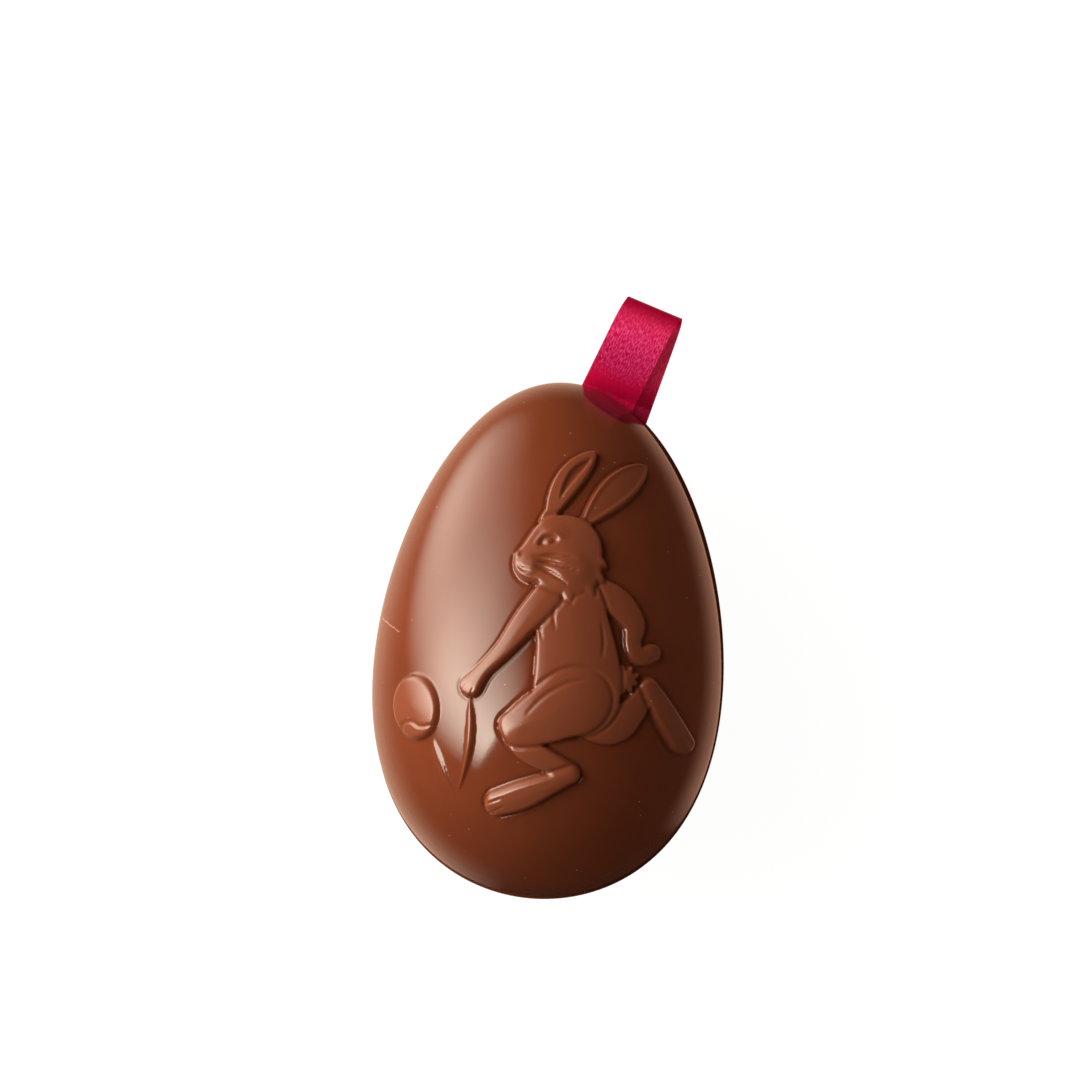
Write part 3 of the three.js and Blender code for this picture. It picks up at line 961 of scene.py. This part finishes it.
# %% The cards
EVEN_FADES = [((1, 0), -1, -0.25, 0), ((1, 0), 1, 0.25, 0), ((0, 1), -1, -0.25, 0), ((0, 1), 1, 0.25, 0)]
SHEEN_FADES = [((1, 0.28), -1, 1.36, 0), ((1, 0), 0.97, 0.08, 0), ((0, 1), -0.9, -0.27, 0),
               ((0, 1), 1, 0.88, 0), ((0, 1), -0.07, 0.3, 0.54)]
key = soft_box("key_card", 163, 28, 22, 40, 47, 5.45, (1.0, 0.90, 0.77), EVEN_FADES)
key.visible_glossy = False
sheen = soft_box("sheen_card", 154, 17, 36, 42, 60, 20.3, (1.0, 0.96, 0.81), SHEEN_FADES)
sheen.visible_diffuse = False
fill = soft_box("fill_card", -6, -18, 0, 40, 40, 1.05, (1.0, 0.88, 0.75), EVEN_FADES)
fill.visible_glossy = False
bounce = soft_box("bounce_card", 220, -12, 0, 30, 30, 0.6, (1.0, 0.90, 0.76), EVEN_FADES)
bounce.visible_glossy = False

# %% [markdown]
# The room is nearly dark. It glows from low down at the left and the top, as light coming back from
# a table does, and this lights the egg's flanks. In reflections the glow is narrower and warmer, and
# draws light rims along both edges. Seen directly, the room is white.

# %% World, seen directly and from the egg
LEFT_GLOW = (0.82, 0.55, 0.385)
RIGHT_GLOW = (0.51, 0.265, 0.18)
LOW_GLOW = (1.5, 1.4, 1.24)
DIM_ROOM = (0.12, 0.108, 0.093)
DARK_ROOM = (0.01, 0.01, 0.009)
world = bpy.data.worlds.new("studio")
bpy.context.scene.world = world
world.use_nodes = True
nodes, links = world.node_tree.nodes, world.node_tree.links
nodes.clear()
output = nodes.new("ShaderNodeOutputWorld")
path = nodes.new("ShaderNodeLightPath")
white = nodes.new("ShaderNodeBackground")
white.inputs["Color"].default_value = (1, 1, 1, 1)
dim = nodes.new("ShaderNodeBackground")
direction = nodes.new("ShaderNodeTexCoord").outputs["Generated"]
split = nodes.new("ShaderNodeSeparateXYZ")
links.new(direction, split.inputs[0])
level = nodes.new("ShaderNodeVectorMath")
level.operation = "MULTIPLY"
level.inputs[1].default_value = (1, 1, 0)
links.new(direction, level.inputs[0])
level_way = nodes.new("ShaderNodeVectorMath")
level_way.operation = "NORMALIZE"
links.new(level.outputs[0], level_way.inputs[0])


def low_glow(full_under, gone_over, azimuth, gone_at, full_at):
    """A share that grows below a height, and towards an azimuth from gone_at degrees off it."""
    low = map_range(nodes, links, split.outputs["Z"], full_under, gone_over, 1, 0)
    towards = nodes.new("ShaderNodeVectorMath")
    towards.operation = "DOT_PRODUCT"
    towards.inputs[1].default_value = (np.cos(np.radians(azimuth)), np.sin(np.radians(azimuth)), 0)
    links.new(level_way.outputs[0], towards.inputs[0])
    near = map_range(nodes, links, towards.outputs["Value"], np.cos(np.radians(gone_at)),
                     np.cos(np.radians(full_at)), 0, 1)
    return math(nodes, links, "MULTIPLY", low, near)


glow = low_glow(full_under=-0.5, gone_over=-0.2, azimuth=140, gone_at=139, full_at=110)
left_glow = low_glow(full_under=-0.8, gone_over=-0.42, azimuth=157, gone_at=104, full_at=70)
right_glow = low_glow(full_under=-0.8, gone_over=-0.55, azimuth=14, gone_at=53, full_at=37)
soft = blend(nodes, links, glow, DIM_ROOM, LOW_GLOW)
gloss = blend(nodes, links, left_glow, blend(nodes, links, right_glow, DARK_ROOM, RIGHT_GLOW), LEFT_GLOW)
links.new(blend(nodes, links, path.outputs["Is Glossy Ray"], soft, gloss), dim.inputs["Color"])
mix = nodes.new("ShaderNodeMixShader")
links.new(path.outputs["Is Camera Ray"], mix.inputs["Fac"])
links.new(dim.outputs[0], mix.inputs[1])
links.new(white.outputs[0], mix.inputs[2])
links.new(mix.outputs[0], output.inputs["Surface"])
bpy.context.scene.view_settings.view_transform = "Standard"
print("world has", len(nodes), "nodes")
